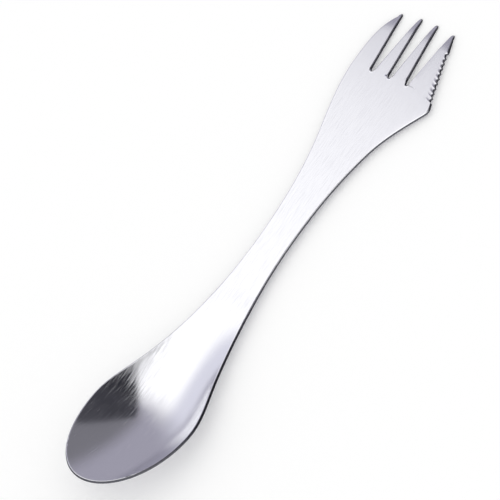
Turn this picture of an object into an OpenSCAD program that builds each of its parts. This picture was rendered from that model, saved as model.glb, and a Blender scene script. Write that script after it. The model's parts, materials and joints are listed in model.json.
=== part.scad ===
// Spork: one pressed steel sheet with a spoon at one end and a four-tined fork at the other.
// The sheet is drawn in regions that meet face to face. Lengths run from the nose of the bowl
// (zero) to the tips of the tines, the left side is +Y, and the flat handle lies on the XY plane
// until the finished spork is tipped over to rest on its belly and its tines.

/* [Overall] */
// Length from the nose of the bowl to the tips of the inner tines
total_l = 170; // [155:1:200]
// Thickness of the steel sheet
sheet_t = 1; // [0.6:0.1:1.5]

/* [Spoon end] */
// Width of the bowl at its widest
bowl_w = 38; // [32:0.5:44]
// Length from the nose to the widest point of the bowl
nose_l = 26; // [20:0.5:32]
// Depth of the bowl below its rim at the widest point
bowl_depth = 5.5; // [4:0.5:9]
// Width of the flank, where the bowl narrows fastest
flank_w = 26.4; // [22:0.2:30]
// Length of the spoon end, from the nose to the start of the flat handle
spoon_l = 75; // [68:1:85]
// Length of the neck between the end of the hollow and the flat handle
neck_l = 6; // [3:0.5:14]
// Rise of the nose above the flat handle
nose_rise = 10.4; // [4:0.2:14]

/* [Handle] */
// Width of the handle at its waist
waist_w = 11.4; // [9:0.2:15]

/* [Fork end] */
// Length of the fork end, from the flat handle to the tips
fork_l = 44; // [38:1:52]
// Width of the palm where it leaves the flat handle
palm_w = 20; // [17:0.5:23]
// Reach of the left tine's outer edge from the centre line
left_reach = 14.6; // [13:0.2:17]
// Reach of the right shoulder from the centre line
shoulder_reach = 18.7; // [17:0.2:20]
// Length of the slots, from their roots to the inner tips
tine_l = 20; // [16:0.5:25]
// Spacing of the three slots at their roots
slot_pitch = 6.8; // [6:0.1:7.5]
// Width of a slot at its root
slot_w = 1.5; // [0.8:0.1:2]
// Spacing of the two inner tips
inner_span = 6.2; // [5.4:0.1:7]
// Spacing of the two outer tips
outer_span = 20.4; // [18:0.2:22]
// Width of a tine just behind its rounded tip
tip_w = 1.4; // [1:0.1:2]
// Length of the rounding at a tip
tip_l = 1.2; // [0.8:0.1:2]
// How far the outer tips stand back from the inner ones
outer_setback = 0.9; // [0:0.1:3]
// How far the tips dip below the flat handle
tip_dip = 0.3; // [0:0.1:3]
// Thickness that the tines are ground down to at their tips
tip_t = 0.5; // [0.3:0.1:0.6]
// Length over which a tine thins to its tip
taper_l = 6; // [3:0.5:12]

/* [Serrated edge] */
// Distance from the shoulder's corner forward to the first tooth
shoulder_l = 3.8; // [3:0.1:5]
// Length of the serrated edge along the spork
cut_l = 16; // [10:0.5:17]
// Reach of the serrated edge at its first tooth
cut_reach = 18.3; // [16.5:0.1:19]
// Reach of the serrated edge at its last tooth
cut_end_reach = 12.8; // [12:0.1:14]
// Spacing of the teeth
tooth_pitch = 1.6; // [1.2:0.1:2.5]
// Depth of the gullets between the teeth
tooth_depth = 0.5; // [0.3:0.05:0.7]
// How far the points of the teeth stand inside the smooth edge beside them
tooth_inset = 0.25; // [0.1:0.05:0.4]

/* [Hidden] */

steel = "#d6d6dc";
bowl_steel = "#8e8d97";
tine_steel = "#c4c4ca";

// Steps of the sheet's grid
nose_rows = 14;
flank_rows = 22;
bowl_cols = 28;
handle_steps = 24;
palm_rows = 18;
tine_rows = 12;
tip_rows = 3;
tine_cols = 4;
slot_cols = 4;
tooth_rows = 6;

// Shares and slopes chosen by eye
waist_share = 0.3;
flank_share = 0.3;
flank_slope_share = -0.33;
palm_slope_share = 0.28;
shoulder_slope_share = 0.62;
left_tip_slope_share = -0.62;
cut_tip_slope_share = -0.46;
tip_flat_share = 0.3;
flank_power_share = 0.3;
hollow_hold_share = 1.2;
row_crowding_share = 1.5;
probe_share = 0.02;

half_w = bowl_w / 2;
dish_l = spoon_l - neck_l;
palm_x = total_l - fork_l;
waist_x = spoon_l + waist_share * (palm_x - spoon_l);
flank_x = nose_l + flank_share * (waist_x - nose_l);
root_x = total_l - tine_l;
outer_tip_x = total_l - outer_setback;
cut_x = root_x - 2 * slot_w;
cut_end_x = cut_x + cut_l;
shoulder_x = cut_x - shoulder_l;
cut_slope = (cut_end_reach - cut_reach) / cut_l;
tooth_n = round(cut_l / tooth_pitch);

// Places of the tips and the slots, from left to right
tip_y = [outer_span / 2, inner_span / 2, -inner_span / 2, -outer_span / 2];
tip_x = [outer_tip_x, total_l, total_l, outer_tip_x];
slot_y = [slot_pitch, 0, -slot_pitch];

// Edges of the sheet as stations: place along the spork, reach from the centre line, slope there
side_edge = [
    [nose_l, half_w, 0],
    [flank_x, flank_w / 2, flank_slope_share],
    [waist_x, waist_w / 2, 0],
    [palm_x, palm_w / 2, palm_slope_share],
];
left_edge = [
    [palm_x, palm_w / 2, palm_slope_share],
    [root_x, left_reach, 0],
    [outer_tip_x - tip_l, tip_y[0] + tip_w / 2, left_tip_slope_share],
];
right_edge = [
    [palm_x, palm_w / 2, palm_slope_share],
    [shoulder_x, shoulder_reach, shoulder_slope_share],
    [cut_x, cut_reach, cut_slope],
    [cut_end_x, cut_end_reach, cut_slope],
    [outer_tip_x - tip_l, -tip_y[3] + tip_w / 2, cut_tip_slope_share],
];

function mix(a, b, share) = a + (b - a) * share;
function ease(u) = u * u * (3 - 2 * u);
function unit(v) = v / norm(v);

// Smooth curve between two stations
function between(a, b, x) =
    let (span = b.x - a.x, u = (x - a.x) / span)
    mix(a.y, b.y, ease(u)) + span * u * (1 - u) * (a.z * (1 - u) - b.z * u);

// Reach of an edge at x
function reach(edge, x, i = 0) =
    i == len(edge) - 2 || x <= edge[i + 1].x ? between(edge[i], edge[i + 1], x) : reach(edge, x, i + 1);

// Height of the edge line, which sweeps up from the flat handle to the nose
function rise(x) = x < spoon_l ? nose_rise * pow((spoon_l - x) / spoon_l, 2) : 0;

// Depth of the hollow on the centre line, behind the widest point
function dish(x) =
    x > dish_l ? 0 :
    bowl_depth * pow(reach(side_edge, x) / half_w, flank_power_share)
        * (1 - ease(pow((x - nose_l) / (dish_l - nose_l), hollow_hold_share)));

// How far the fork has dipped at x
function dip(x) = x > palm_x ? tip_dip * pow((x - palm_x) / fork_l, 3) : 0;

// Height of the sheet's underside
function under(x, y) =
    x < nose_l
        ? rise(x) - bowl_depth * (1 - pow((nose_l - x) / nose_l, 2) - pow(y / half_w, 2))
        : x > dish_l ? rise(x) - dip(x)
        : rise(x) - dish(x) * (1 - pow(y / reach(side_edge, x), 2));

// Thickness of the sheet, which thins towards the curve that runs through the tips
function tip_curve(y) = total_l - outer_setback * pow(2 * y / outer_span, 2);
function thickness(p) =
    let (along = max(0, 1 - (tip_curve(p.y) - p.x) / taper_l))
    sheet_t - (sheet_t - tip_t) * along * along;

// A point of the underside, and the point of the upper face square above it
function low(p) = [p.x, p.y, under(p.x, p.y)];
function high(p) =
    let (step = probe_share * sheet_t)
    low(p) + thickness(p) * unit([
        under(p.x - step, p.y) - under(p.x + step, p.y),
        under(p.x, p.y - step) - under(p.x, p.y + step),
        2 * step,
    ]);

// Rows of the bowl: a rounded nose, then straight rows back to the neck
function nose_point(u, v) = [nose_l * (1 - u * sqrt(1 - v * v / 2)), half_w * v * sqrt(1 - u * u / 2)];
function across(x, cols) = [for (j = [0:cols]) [x, reach(side_edge, x) * (1 - 2 * j / cols)]];
function nose_row(u) = [for (j = [0:bowl_cols]) nose_point(u, 1 - 2 * j / bowl_cols)];
function bowl_rows() = concat(
    [for (i = [0:nose_rows - 1]) nose_row(1 - i / nose_rows)],
    [for (i = [0:flank_rows]) across(mix(nose_l, spoon_l, i / flank_rows), bowl_cols)]
);

// How far the edge of the cutting tine is cut back at x
function gullet(x) =
    let (along = (x - cut_x) / cut_l)
    along <= 0 || along >= 1 ? 0 : tooth_inset + tooth_depth * abs(sin(180 * tooth_n * along));

// Where tine k starts on its left and right edge, and where its rounded tip starts
function start_x(k, side) = k == 3 ? mix(root_x, cut_x, side) : root_x;
function cap_x(k) = tip_x[k] - tip_l;

// Straight wall of a slot, from its root to the tip that it leads to
function wall(slot, k, side, x) =
    let (u = (x - root_x) / (cap_x(k) - root_x))
    mix(slot_y[slot] + side * slot_w / 2, tip_y[k] - side * tip_w / 2, u);

// Left and right edges of tine k at x, up to its rounded tip
function tine_left(k, x) = k == 0 ? reach(left_edge, x) : wall(k - 1, k, -1, x);
function tine_right(k, x) = k == 3 ? -reach(right_edge, x) : wall(k, k, 1, x);

// A point of tine k, across from its left edge (0) to its right edge (1)
function tine_point(k, x, side) =
    let (
        base = min(x, cap_x(k)),
        u = max(0, (x - cap_x(k)) / tip_l),
        round_share = sqrt(1 - u * u * (1 - pow(tip_flat_share, 2))),
        y = mix(tine_left(k, base), tine_right(k, base), side),
        cut = k == 3 && side == 1 ? gullet(x) : 0
    )
    [x, mix(tip_y[k], y, round_share) + cut];

// Places of tine k's rows along its right edge: teeth if it has them, the plain stretch, the tip
function tine_places(k) =
    let (
        first = start_x(k, 1),
        plain = k == 3 ? cut_end_x : first,
        teeth = tooth_n * tooth_rows
    )
    concat(
        k == 3 ? [for (i = [0:teeth - 1]) mix(first, plain, i / teeth)] : [],
        [for (i = [0:tine_rows - 1]) mix(plain, cap_x(k), i / tine_rows)],
        [for (i = [0:tip_rows]) cap_x(k) + tip_l * sin(90 * i / tip_rows)]
    );
function tine_grid(k) =
    let (first = start_x(k, 1))
    [for (x = tine_places(k)) [for (j = [0:tine_cols])
        let (side = j / tine_cols, along = (x - first) / (tip_x[k] - first))
        tine_point(k, mix(start_x(k, side), tip_x[k], along), side)
    ]];

// Front edge of the palm: the starts of the tines, with the round roots of the slots between them
function tine_start(k) = [for (j = [0:tine_cols]) tine_point(k, start_x(k, j / tine_cols), j / tine_cols)];
function slot_root(s) = [for (i = [1:slot_cols - 1])
    let (turn = 180 * i / slot_cols)
    [root_x - slot_w / 2 * sin(turn), slot_y[s] + slot_w / 2 * cos(turn)]];
function palm_front() = concat(
    tine_start(0), slot_root(0), tine_start(1), slot_root(1), tine_start(2), slot_root(2), tine_start(3)
);

// Rows of the palm, closer together towards the slots
function palm_point(front, along) =
    let (
        left = reach(left_edge, front.x),
        share = (left - front.y) / (left + reach(right_edge, front.x)),
        x = mix(palm_x, front.x, along)
    )
    [x, mix(reach(left_edge, x), -reach(right_edge, x), share)];
function palm_grid() =
    let (front = palm_front())
    [for (i = [0:palm_rows])
        let (along = 1 - pow(1 - i / palm_rows, row_crowding_share))
        [for (p = front) i == palm_rows ? p : palm_point(p, along)]];

// Two triangles of the grid cell with first corner a, cut so that left and right are mirror images
function cell(a, cols, right) = right
    ? [[a, a + 1, a + cols], [a + 1, a + cols + 1, a + cols]]
    : [[a, a + 1, a + cols + 1], [a, a + cols + 1, a + cols]];

// Solid sheet over a grid of points, its upper face square above the underside
module sheet(grid) {
    rows = len(grid);
    cols = len(grid[0]);
    lows = [for (row = grid) for (p = row) low(p)];
    highs = [for (row = grid) for (p = row) high(p)];
    count = rows * cols;
    cells = [for (i = [0:rows - 2]) for (j = [0:cols - 2]) each cell(i * cols + j, cols, 2 * j >= cols - 1)];
    faces = concat(
        cells,
        [for (c = cells) [count + c.z, count + c.y, count + c.x]],
        [for (i = [0:rows - 2]) let (a = i * cols)
            [a, a + cols, count + a + cols, count + a]],
        [for (i = [0:rows - 2]) let (a = i * cols + cols - 1)
            [a, count + a, count + a + cols, a + cols]],
        [for (a = [0:cols - 2]) [a, count + a, count + a + 1, a + 1]],
        [for (j = [0:cols - 2]) let (a = count - cols + j) [a, a + 1, count + a + 1, count + a]]
    );
    polyhedron(concat(lows, highs), faces);
}

// Resting place: tipped until the belly and the inner tips touch the table, centred along X
tip_low = [total_l, -tip_dip];
keel = [for (row = bowl_rows()) let (p = row[bowl_cols / 2]) [p.x, under(p.x, 0)]];
rest_angle = max([for (p = keel) atan((tip_low.y - p.y) / (tip_low.x - p.x))]);
rest_nose = nose_rise * sin(rest_angle);
rest_tip = total_l * cos(rest_angle) - tip_dip * sin(rest_angle);
rest_drop = total_l * sin(rest_angle) + tip_dip * cos(rest_angle);
module at_rest() {
    translate([-(rest_nose + rest_tip) / 2, 0, rest_drop]) rotate([0, rest_angle, 0]) children();
}

module spoon_bowl() {
    color(bowl_steel) at_rest() sheet(bowl_rows());
}

// The flat of the handle, whose ends hold the same points as the bowl's and the palm's edges
module handle() {
    side = [for (i = [0:handle_steps]) mix(spoon_l, palm_x, i / handle_steps)];
    palm_end = palm_grid()[0];
    neck_end = across(spoon_l, bowl_cols);
    outline = concat(
        [for (x = side) [x, reach(side_edge, x)]],
        [for (j = [1:len(palm_end) - 2]) palm_end[j]],
        [for (i = [handle_steps:-1:0]) [side[i], -reach(side_edge, side[i])]],
        [for (j = [bowl_cols - 1:-1:1]) neck_end[j]]
    );
    color(steel) at_rest() linear_extrude(sheet_t) polygon(outline);
}

module fork_palm() {
    color(steel) at_rest() sheet(palm_grid());
}

module tine(k) {
    color(tine_steel) at_rest() sheet(tine_grid(k));
}

module left_tine() { tine(0); }
module inner_left_tine() { tine(1); }
module inner_right_tine() { tine(2); }
module cutting_tine() { tine(3); }

spoon_bowl();
handle();
fork_palm();
left_tine();
inner_left_tine();
inner_right_tine();
cutting_tine();
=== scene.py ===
"""Spork pressed from one sheet of stainless steel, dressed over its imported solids.

The solids of the regions are copied and welded to one sheet, its edges are rounded as tumbling rounds
them, and the sheet is parted again into its regions, so that the steel runs on from each to the next.
"""

import json
import math

import bpy
from mathutils import Matrix, Vector

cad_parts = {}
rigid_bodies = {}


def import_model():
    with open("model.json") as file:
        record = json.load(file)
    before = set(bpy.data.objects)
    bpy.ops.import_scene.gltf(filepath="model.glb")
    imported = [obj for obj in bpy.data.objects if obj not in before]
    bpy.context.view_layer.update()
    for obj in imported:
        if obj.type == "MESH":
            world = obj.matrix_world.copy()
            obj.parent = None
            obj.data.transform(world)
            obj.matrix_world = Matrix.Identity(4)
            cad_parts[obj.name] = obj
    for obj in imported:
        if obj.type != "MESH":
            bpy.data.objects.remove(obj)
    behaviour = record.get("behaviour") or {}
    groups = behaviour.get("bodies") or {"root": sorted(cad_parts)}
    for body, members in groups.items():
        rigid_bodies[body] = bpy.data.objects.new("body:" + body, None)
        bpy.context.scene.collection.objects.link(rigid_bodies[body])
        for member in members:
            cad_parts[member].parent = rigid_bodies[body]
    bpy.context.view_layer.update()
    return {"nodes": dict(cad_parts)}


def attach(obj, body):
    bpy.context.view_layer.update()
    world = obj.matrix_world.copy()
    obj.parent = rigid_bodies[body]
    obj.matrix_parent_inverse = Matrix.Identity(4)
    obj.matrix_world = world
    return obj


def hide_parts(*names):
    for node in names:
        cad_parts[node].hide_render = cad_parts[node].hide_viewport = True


bl_info = {
    "name": "Pressed steel spork",
    "version": (1, 0, 0),
    "blender": (4, 5, 0),
    "location": "3D View > Sidebar > Spork",
    "description": "Rounds and finishes the regions of a pressed steel spork and sets its stage",
    "category": "Object",
}

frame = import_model()

MM = 0.001
# Material slots of the blank: faces, cut edges and, until they are sorted, the rounded faces.
FACE, EDGE, ROUND = 0, 1, 2
BLANK = "blank"
TINES = ("left_tine", "inner_left_tine", "inner_right_tine", "cutting_tine")
REGIONS = ("spoon_bowl", "handle", "fork_palm") + TINES

WELD_GAP = 0.002 * MM
FLAT_COSINE = 0.9
PAIR_ANGLE = math.radians(25)
PAIR_SHAPE = math.radians(180)
FACE_BEND = math.radians(40)

# Scratches are coarser than real satin scratches, so that they show in a picture of the whole spork.
SCRATCH_L = 6 * MM
SCRATCH_W = 0.3 * MM
SCRATCH_DEPTH = 0.01 * MM
SCRATCH_RANGE = (0.42, 0.75)
SATIN_ROUGHNESS = (0.08, 0.3)
# Pits are coarser than real ones too.
PIT_SIZE = 0.5 * MM
PIT_RANGE = (0.35, 0.65)
TUMBLED_ROUGHNESS = (0.22, 0.4)

FLOOR_W = 6
TENT_R = 2
TENT_GLOW = 1.3
# Limits of the tent's cloths along a unit vector: X toward the fork, Y toward the left tine, Z up.
SKIRT_Y = (0.66, 0.9)
HEM_Z = (0.25, 0)
HEM_Y = (0.3, 0.6)
SIDE_X = (0.215, 0.44)
SHADE_X = (0.35, 0.5)
SHADE_Y = (0.62, 0.3)
OPENING_X = 0.453
OPENING_SLANT = 0.64
OPENING_EDGE = (0.285, 0.23)
OPENING_Y = (-0.55, -0.3)
# The opening shows less toward the fork.
FAINT_X = (0.3, 0.8)
FAINT_SHARE = (1, 0.7)

# From the origin to the middle of the picture, rightward and upward in it.
PICTURE_SHIFT = (-5.084 * MM, 2.624 * MM)


def linear(code):
    """Linear red, green and blue of an sRGB hex colour."""
    channels = [int(code[i:i + 2], 16) / 255 for i in (1, 3, 5)]
    return [c / 12.92 if c <= 0.04045 else ((c + 0.055) / 1.055) ** 2.4 for c in channels]


def select_only(*objects):
    """Leave object mode's selection at these objects, the first of them active."""
    bpy.ops.object.select_all(action="DESELECT")
    for each in objects:
        each.select_set(True)
    bpy.context.view_layer.objects.active = objects[0]


def pick_faces(piece, test):
    """Enter edit mode with only those faces selected that pass the test."""
    chosen = [test(face) for face in piece.data.polygons]
    if not any(chosen):
        raise RuntimeError("no face to work on in " + piece.name)
    bpy.ops.object.mode_set(mode="EDIT")
    bpy.ops.mesh.select_mode(type="FACE")
    bpy.ops.mesh.select_all(action="DESELECT")
    bpy.ops.object.mode_set(mode="OBJECT")
    piece.data.polygons.foreach_set("select", chosen)
    bpy.ops.object.mode_set(mode="EDIT")


def regions_of_faces(piece):
    """Region number of each face of the sheet."""
    return [entry.value for entry in piece.data.attributes["region"].data]


def add(tree, kind, inputs=None, **settings):
    """Add a node with its settings, and with values or links on its inputs."""
    node = tree.nodes.new(kind)
    for name, value in settings.items():
        setattr(node, name, value)
    for name, value in (inputs or {}).items():
        if isinstance(value, bpy.types.NodeSocket):
            tree.links.new(value, node.inputs[name])
        else:
            node.inputs[name].default_value = value
    return node


class SporkSettings(bpy.types.PropertyGroup):
    """Sizes and colours of the steel sheet."""

    edge_round: bpy.props.FloatProperty(
        name="Edge rounding",
        description="Radius that tumbling gives the edges of the sheet",
        default=0.42 * MM,
        min=0.05 * MM,
        max=0.48 * MM,
        precision=5,
        unit="LENGTH",
    )
    fine_edge: bpy.props.FloatProperty(
        name="Fine edge",
        description="Edge segments shorter than this, on teeth and tips, are rounded less",
        default=0.35 * MM,
        min=0.1 * MM,
        max=1 * MM,
        precision=5,
        unit="LENGTH",
    )
    fine_share: bpy.props.FloatProperty(
        name="Fine rounding",
        description="Share of the rounding that fine edges get",
        default=0.25,
        min=0.05,
        max=1,
        subtype="FACTOR",
    )
    edge_steps: bpy.props.IntProperty(
        name="Edge steps",
        description="Faces across each rounded edge",
        default=4,
        min=1,
        max=8,
    )
    steel: bpy.props.FloatVectorProperty(
        name="Steel",
        description="Colour of the steel",
        default=linear("#e8e8ec"),
        min=0,
        max=1,
        subtype="COLOR",
    )
    # The edge colour is darker than the steel only to paint the dark reflection along the cut edges;
    # tumbling makes them dull through their roughness.
    edge: bpy.props.FloatVectorProperty(
        name="Edge",
        description="Colour of the blanked edge of the sheet",
        default=linear("#55555b"),
        min=0,
        max=1,
        subtype="COLOR",
    )


class SporkStageSettings(bpy.types.PropertyGroup):
    """Floor, light and camera."""

    floor: bpy.props.FloatVectorProperty(
        name="Floor",
        description="Colour of the floor",
        default=linear("#ffffff"),
        min=0,
        max=1,
        subtype="COLOR",
    )
    softbox: bpy.props.FloatVectorProperty(
        name="Softbox",
        description="Colour of the lit cloth over the spork",
        default=linear("#ffffff"),
        min=0,
        max=1,
        subtype="COLOR",
    )
    skirt: bpy.props.FloatVectorProperty(
        name="Skirt",
        description="Colour of the lit cloth low down behind the spork",
        default=linear("#d2d2dc"),
        min=0,
        max=1,
        subtype="COLOR",
    )
    side: bpy.props.FloatVectorProperty(
        name="Side",
        description="Colour of the unlit cloth beyond the fork",
        default=linear("#9795a1"),
        min=0,
        max=1,
        subtype="COLOR",
    )
    shade: bpy.props.FloatVectorProperty(
        name="Shade",
        description="Colour of the unlit cloth beside the opening",
        default=linear("#717076"),
        min=0,
        max=1,
        subtype="COLOR",
    )
    opening: bpy.props.FloatVectorProperty(
        name="Opening",
        description="Colour of the dark room that shows through the opening of the tent",
        default=linear("#28282e"),
        min=0,
        max=1,
        subtype="COLOR",
    )
    camera_far: bpy.props.FloatProperty(
        name="Camera distance",
        description="Distance from the camera to the spork",
        default=1.5,
        min=0.3,
        max=5,
        unit="LENGTH",
    )
    azimuth: bpy.props.FloatProperty(
        name="Azimuth",
        description="Turn of the camera round the spork",
        default=math.radians(-18.743),
        subtype="ANGLE",
    )
    elevation: bpy.props.FloatProperty(
        name="Elevation",
        description="Height of the camera over the floor, as an angle",
        default=math.radians(49.249),
        subtype="ANGLE",
    )
    roll: bpy.props.FloatProperty(
        name="Roll",
        description="Turn of the camera about its own axis",
        default=math.radians(-41.013),
        subtype="ANGLE",
    )
    view_width: bpy.props.FloatProperty(
        name="View width",
        description="Width of the picture where the spork is",
        default=143.184 * MM,
        min=10 * MM,
        max=1,
        unit="LENGTH",
    )


def satin_steel(settings):
    """Stainless steel, satin-brushed along the spork: fine scratches blur reflections across it."""
    material = bpy.data.materials.new("satin stainless steel")
    material.use_nodes = True
    tree = material.node_tree
    tree.nodes.clear()
    place = add(tree, "ShaderNodeTexCoord")
    stretch = add(tree, "ShaderNodeMapping", {
        "Vector": place.outputs["Object"],
        "Scale": (1 / SCRATCH_L, 1 / SCRATCH_W, 0),
    })
    scratch = add(tree, "ShaderNodeTexNoise", {
        "Vector": stretch.outputs["Vector"], "Scale": 1, "Detail": 3, "Roughness": 0.6,
    })
    polish = add(tree, "ShaderNodeMapRange", {
        "Value": scratch.outputs["Fac"],
        "From Min": SCRATCH_RANGE[0], "From Max": SCRATCH_RANGE[1],
        "To Min": SATIN_ROUGHNESS[0], "To Max": SATIN_ROUGHNESS[1],
    })
    bump = add(tree, "ShaderNodeBump", {
        "Strength": 1, "Distance": SCRATCH_DEPTH, "Height": scratch.outputs["Fac"],
    })
    steel = add(tree, "ShaderNodeBsdfPrincipled", {
        "Base Color": (*settings.steel, 1),
        "Metallic": 1,
        "Roughness": polish.outputs["Result"],
        "Normal": bump.outputs["Normal"],
    })
    add(tree, "ShaderNodeOutputMaterial", {"Surface": steel.outputs["BSDF"]})
    return material


def tumbled_steel_with_painted_dark_edge(settings):
    """Stainless steel, blanked and tumbled: dull from its pitted roughness, with a darker colour that is
    a painted dark reflection round the polished faces.
    """
    material = bpy.data.materials.new("tumbled stainless steel with painted dark reflection")
    material.use_nodes = True
    tree = material.node_tree
    tree.nodes.clear()
    place = add(tree, "ShaderNodeTexCoord")
    pits = add(tree, "ShaderNodeTexNoise", {
        "Vector": place.outputs["Object"], "Scale": 1 / PIT_SIZE, "Detail": 2,
    })
    polish = add(tree, "ShaderNodeMapRange", {
        "Value": pits.outputs["Fac"],
        "From Min": PIT_RANGE[0], "From Max": PIT_RANGE[1],
        "To Min": TUMBLED_ROUGHNESS[0], "To Max": TUMBLED_ROUGHNESS[1],
    })
    # The darker base colour is a painted dark reflection, not a colour of the steel.
    steel = add(tree, "ShaderNodeBsdfPrincipled", {
        "Base Color": (*settings.edge, 1), "Metallic": 1, "Roughness": polish.outputs["Result"],
    })
    add(tree, "ShaderNodeOutputMaterial", {"Surface": steel.outputs["BSDF"]})
    return material


class SPORK_OT_press_sheet(bpy.types.Operator):
    """Weld copies of the regions to one sheet and round its edges"""

    bl_idname = "spork.press_sheet"
    bl_label = "Press the sheet"

    def execute(self, context):
        settings = context.scene.spork
        copies = [self.copy_region(number, name) for number, name in enumerate(REGIONS)]
        select_only(*copies)
        bpy.ops.object.join()
        sheet = context.view_layer.objects.active
        sheet.name = BLANK
        # The second slot is the tumbled steel with its painted dark reflection on the cut edges.
        for finish in (satin_steel(settings), tumbled_steel_with_painted_dark_edge(settings), None):
            sheet.data.materials.append(finish)
        self.weld(sheet)
        self.clear_flats(sheet)
        self.mark_rim(sheet, settings)
        self.round_rim(sheet, settings)
        return {"FINISHED"}

    def copy_region(self, number, name):
        """Copy a region's solid, with its number on each face."""
        select_only(frame["nodes"][name])
        bpy.ops.object.duplicate()
        copy = bpy.context.view_layer.objects.active
        copy.parent = None
        for key in list(copy.keys()):
            del copy[key]
        copy.data.materials.clear()
        faces = copy.data.polygons
        mark = copy.data.attributes.new("region", "INT", "FACE")
        mark.data.foreach_set("value", [number] * len(faces))
        return copy

    def weld(self, sheet):
        """Merge the regions' points and delete the faces where two regions meet."""
        bpy.ops.object.mode_set(mode="EDIT")
        bpy.ops.mesh.select_all(action="SELECT")
        bpy.ops.mesh.remove_doubles(threshold=WELD_GAP)
        bpy.ops.object.mode_set(mode="OBJECT")
        regions = regions_of_faces(sheet)
        users = [set() for _ in sheet.data.vertices]
        for face in sheet.data.polygons:
            for point in face.vertices:
                users[point].add(regions[face.index])

        def is_seam(face):
            shared = set.intersection(*(users[point] for point in face.vertices))
            return len(shared) > 1

        pick_faces(sheet, is_seam)
        bpy.ops.mesh.delete(type="FACE")
        bpy.ops.object.mode_set(mode="OBJECT")

    def clear_flats(self, sheet):
        """Make each flat of the handle one face, and pair the other triangles."""
        regions = regions_of_faces(sheet)
        handle = REGIONS.index("handle")
        pick_faces(sheet, lambda face: regions[face.index] == handle and abs(face.normal.z) > FLAT_COSINE)
        bpy.ops.mesh.dissolve_faces()
        bpy.ops.mesh.select_all(action="INVERT")
        bpy.ops.mesh.tris_convert_to_quads(
            face_threshold=PAIR_ANGLE, shape_threshold=PAIR_SHAPE, topology_influence=2)
        bpy.ops.object.mode_set(mode="OBJECT")

    def mark_rim(self, sheet, settings):
        """Weight the edges of the sheet by its thickness, less on teeth and tips."""
        flats = sorted(sheet.data.polygons, key=lambda face: face.area)[-2:]
        flat_numbers = {face.index for face in flats}
        pick_faces(sheet, lambda face: face.index in flat_numbers)
        bpy.ops.mesh.faces_select_linked_flat(sharpness=FACE_BEND)
        bpy.ops.object.mode_set(mode="OBJECT")
        walls = [face for face in sheet.data.polygons if not face.select]
        # Cut walls get the tumbled steel, whose darker colour paints a dark reflection.
        for wall in walls:
            wall.material_index = EDGE
        points = sheet.data.vertices
        lengths = {
            edge.key: (points[edge.vertices[0]].co - points[edge.vertices[1]].co).length
            for edge in sheet.data.edges
        }
        thickness = {}
        for wall in walls:
            for key in wall.edge_keys:
                ends = [other for other in wall.edge_keys if other != key and set(other) & set(key)]
                thickness[key] = sum(lengths[end] for end in ends) / len(ends)
        bpy.ops.object.mode_set(mode="EDIT")
        bpy.ops.mesh.region_to_loop()
        bpy.ops.object.mode_set(mode="OBJECT")
        sheet_t = max(thickness[edge.key] for edge in sheet.data.edges if edge.select)
        weights = []
        for edge in sheet.data.edges:
            share = 0
            if edge.select:
                fine = lengths[edge.key] < settings.fine_edge
                share = settings.fine_share if fine else 1
                share *= thickness[edge.key] / sheet_t
            weights.append(min(1, share))
        weight = sheet.data.attributes.new("bevel_weight_edge", "FLOAT", "EDGE")
        weight.data.foreach_set("value", weights)

    def round_rim(self, sheet, settings):
        """Round the weighted edges and keep the faces beside them even."""
        bevel = sheet.modifiers.new("tumbled edges", "BEVEL")
        bevel.limit_method = "WEIGHT"
        bevel.width = settings.edge_round
        bevel.segments = settings.edge_steps
        bevel.use_clamp_overlap = False
        bevel.material = ROUND
        bpy.ops.object.modifier_apply(modifier=bevel.name)
        pick_faces(sheet, lambda face: face.material_index == EDGE)
        for _ in range(settings.edge_steps // 2):
            bpy.ops.mesh.select_more(use_face_step=True)
        bpy.ops.object.mode_set(mode="OBJECT")
        # Rounded faces next to the walls get the same painted dark reflection, and the others get the
        # satin steel.
        for face in sheet.data.polygons:
            if face.material_index == ROUND:
                face.material_index = EDGE if face.select else FACE
        sheet.data.materials.pop(index=ROUND)
        bpy.ops.object.shade_smooth()
        even = sheet.modifiers.new("even faces", "WEIGHTED_NORMAL")
        even.weight = 50
        bpy.ops.object.modifier_apply(modifier=even.name)


def part_region(name):
    """Part a region from the pressed blank, close its seams and let it stand for its solid."""
    blank = bpy.data.objects[BLANK]
    select_only(blank)
    bpy.ops.object.duplicate()
    piece = bpy.context.view_layer.objects.active
    piece.name = name + "_steel"
    number = REGIONS.index(name)
    regions = regions_of_faces(piece)
    pick_faces(piece, lambda face: regions[face.index] != number)
    bpy.ops.mesh.delete(type="FACE")
    bpy.ops.mesh.select_mode(type="EDGE")
    bpy.ops.mesh.select_non_manifold(
        extend=False, use_wire=False, use_multi_face=False, use_non_contiguous=False, use_verts=False)
    bpy.ops.mesh.mark_sharp()
    bpy.ops.mesh.select_all(action="SELECT")
    bpy.ops.mesh.fill_holes(sides=0)
    bpy.ops.object.mode_set(mode="OBJECT")
    shade = piece.modifiers.new("even faces", "DATA_TRANSFER")
    shade.object = blank
    shade.use_loop_data = True
    shade.data_types_loops = {"CUSTOM_NORMAL"}
    shade.loop_mapping = "NEAREST_POLYNOR"
    bpy.ops.object.modifier_apply(modifier=shade.name)
    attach(piece, "root")
    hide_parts(name)


class SPORK_OT_bowl(bpy.types.Operator):
    """Part the spoon's bowl from the blank"""

    bl_idname = "spork.bowl"
    bl_label = "Part the bowl"

    def execute(self, context):
        part_region("spoon_bowl")
        return {"FINISHED"}


class SPORK_OT_handle(bpy.types.Operator):
    """Part the flat handle from the blank"""

    bl_idname = "spork.handle"
    bl_label = "Part the handle"

    def execute(self, context):
        part_region("handle")
        return {"FINISHED"}


class SPORK_OT_palm(bpy.types.Operator):
    """Part the fork's palm from the blank"""

    bl_idname = "spork.palm"
    bl_label = "Part the palm"

    def execute(self, context):
        part_region("fork_palm")
        return {"FINISHED"}


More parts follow.
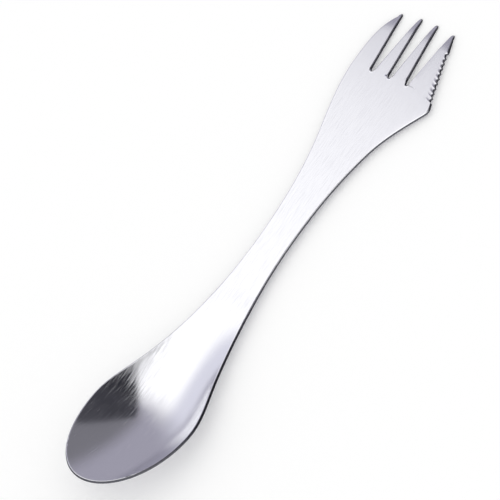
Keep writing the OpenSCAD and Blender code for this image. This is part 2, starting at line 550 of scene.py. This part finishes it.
class SPORK_OT_tines(bpy.types.Operator):
    """Part the four tines from the blank"""

    bl_idname = "spork.tines"
    bl_label = "Part the tines"

    def execute(self, context):
        for name in TINES:
            part_region(name)
        return {"FINISHED"}


class SPORK_OT_clear_blank(bpy.types.Operator):
    """Take away the blank, once all regions are parted from it"""

    bl_idname = "spork.clear_blank"
    bl_label = "Take away the blank"

    def execute(self, context):
        select_only(bpy.data.objects[BLANK])
        bpy.ops.object.delete()
        return {"FINISHED"}


class SPORK_OT_stage(bpy.types.Operator):
    """Lay the floor, set the light and place the camera"""

    bl_idname = "spork.stage"
    bl_label = "Set the stage"

    def execute(self, context):
        stage = context.scene.spork_stage
        context.scene.view_settings.view_transform = "Standard"
        self.lay_floor(stage)
        self.light(context.scene)
        self.pitch_tent(stage)
        self.place_camera(context.scene, stage)
        return {"FINISHED"}

    def lay_floor(self, stage):
        """A wide white floor under the spork."""
        bpy.ops.mesh.primitive_plane_add(size=FLOOR_W)
        floor = bpy.context.view_layer.objects.active
        floor.name = "floor"
        material = bpy.data.materials.new("white floor")
        material.use_nodes = True
        tree = material.node_tree
        tree.nodes.clear()
        matt = add(tree, "ShaderNodeBsdfDiffuse", {"Color": (*stage.floor, 1)})
        add(tree, "ShaderNodeOutputMaterial", {"Surface": matt.outputs["BSDF"]})
        floor.data.materials.append(material)
        floor.visible_glossy = False

    def light(self, scene):
        """White light from all round."""
        world = bpy.data.worlds.new("white room")
        world.use_nodes = True
        tree = world.node_tree
        tree.nodes.clear()
        sky = add(tree, "ShaderNodeBackground", {"Color": (1, 1, 1, 1), "Strength": 1})
        add(tree, "ShaderNodeOutputWorld", {"Surface": sky.outputs["Background"]})
        scene.world = world

    def pitch_tent(self, stage):
        """Round tent of lit and unlit cloth, which shows only in the steel."""
        bpy.ops.mesh.primitive_uv_sphere_add(segments=64, ring_count=32, radius=TENT_R)
        tent = bpy.context.view_layer.objects.active
        tent.name = "tent"
        tent.visible_camera = tent.visible_diffuse = tent.visible_shadow = False
        tent.visible_transmission = tent.visible_volume_scatter = False
        material = bpy.data.materials.new("tent cloth")
        material.use_nodes = True
        tree = material.node_tree
        tree.nodes.clear()
        place = add(tree, "ShaderNodeTexCoord")
        unit = add(tree, "ShaderNodeVectorMath", {0: place.outputs["Object"]}, operation="NORMALIZE")
        axes = add(tree, "ShaderNodeSeparateXYZ", {"Vector": unit.outputs["Vector"]})

        def ramp(value, start, end):
            """Smooth step from 0 at the start to 1 at the end."""
            node = add(tree, "ShaderNodeMapRange", {
                "Value": value, "From Min": start, "From Max": end,
            }, interpolation_type="SMOOTHSTEP")
            return node.outputs["Result"]

        def times(one, other):
            """Share that two cloths have in common."""
            node = add(tree, "ShaderNodeMath", {0: one, 1: other}, operation="MULTIPLY")
            return node.outputs["Value"]

        def cover(below, colour, factor):
            """Lay a cloth of another colour over part of the one below."""
            node = add(tree, "ShaderNodeMix", {
                "Factor": factor, "A": below, "B": (*colour, 1)}, data_type="RGBA")
            return node.outputs[2]

        x, y, z = (axes.outputs[name] for name in "XYZ")
        cloth = cover((*stage.softbox, 1), stage.skirt, ramp(y, *SKIRT_Y))
        cloth = cover(cloth, stage.side, times(ramp(z, *HEM_Z), ramp(y, *HEM_Y)))
        cloth = cover(cloth, stage.side, ramp(x, *SIDE_X))
        cloth = cover(cloth, stage.shade, times(ramp(x, *SHADE_X), ramp(y, *SHADE_Y)))
        off = add(tree, "ShaderNodeMath", {0: x, 1: OPENING_X}, operation="SUBTRACT")
        away = add(tree, "ShaderNodeMath", {0: off.outputs["Value"]}, operation="ABSOLUTE")
        wedge = add(tree, "ShaderNodeMath", {
            0: y, 1: OPENING_SLANT, 2: away.outputs["Value"]}, operation="MULTIPLY_ADD")
        gap = times(ramp(wedge.outputs["Value"], *OPENING_EDGE), ramp(y, *OPENING_Y))
        faint = add(tree, "ShaderNodeMapRange", {
            "Value": x, "From Min": FAINT_X[0], "From Max": FAINT_X[1],
            "To Min": FAINT_SHARE[0], "To Max": FAINT_SHARE[1],
        })
        cloth = cover(cloth, stage.opening, times(gap, faint.outputs["Result"]))
        glow = add(tree, "ShaderNodeEmission", {"Color": cloth, "Strength": TENT_GLOW})
        add(tree, "ShaderNodeOutputMaterial", {"Surface": glow.outputs["Emission"]})
        tent.data.materials.append(material)

    def place_camera(self, scene, stage):
        """Camera at the photographed angle, looking at the middle of the picture."""
        turn, height = stage.azimuth, stage.elevation
        back = Vector((
            math.sin(turn) * math.cos(height), -math.cos(turn) * math.cos(height), math.sin(height)))
        level = Vector((0, 0, 1)).cross(back).normalized()
        upright = back.cross(level)
        right = level * math.cos(stage.roll) + upright * math.sin(stage.roll)
        up = back.cross(right)
        middle = right * PICTURE_SHIFT[0] + up * PICTURE_SHIFT[1]
        data = bpy.data.cameras.new("camera")
        data.lens = data.sensor_width * stage.camera_far / stage.view_width
        camera = bpy.data.objects.new("camera", data)
        scene.collection.objects.link(camera)
        axes = Matrix((right, up, back)).transposed().to_4x4()
        camera.matrix_world = Matrix.Translation(middle + back * stage.camera_far) @ axes
        scene.camera = camera


class SPORK_PT_panel(bpy.types.Panel):
    """Sizes, colours and steps of the spork"""

    bl_idname = "SPORK_PT_panel"
    bl_label = "Spork"
    bl_space_type = "VIEW_3D"
    bl_region_type = "UI"
    bl_category = "Spork"

    def draw(self, context):
        for group in (context.scene.spork, context.scene.spork_stage):
            for name in group.bl_rna.properties.keys():
                if name not in ("rna_type", "name"):
                    self.layout.prop(group, name)
        for step in STEPS:
            self.layout.operator(step.bl_idname)


STEPS = (
    SPORK_OT_press_sheet,
    SPORK_OT_bowl,
    SPORK_OT_handle,
    SPORK_OT_palm,
    SPORK_OT_tines,
    SPORK_OT_clear_blank,
    SPORK_OT_stage,
)
CLASSES = (SporkSettings, SporkStageSettings) + STEPS + (SPORK_PT_panel,)


def register():
    for each in CLASSES:
        bpy.utils.register_class(each)
    bpy.types.Scene.spork = bpy.props.PointerProperty(type=SporkSettings)
    bpy.types.Scene.spork_stage = bpy.props.PointerProperty(type=SporkStageSettings)


def unregister():
    del bpy.types.Scene.spork_stage
    del bpy.types.Scene.spork
    for each in reversed(CLASSES):
        bpy.utils.unregister_class(each)


def main():
    register()
    bpy.ops.spork.press_sheet()
    bpy.ops.spork.bowl()
    bpy.ops.spork.handle()
    bpy.ops.spork.palm()
    bpy.ops.spork.tines()
    bpy.ops.spork.clear_blank()
    bpy.ops.spork.stage()


if __name__ == "__main__":
    main()
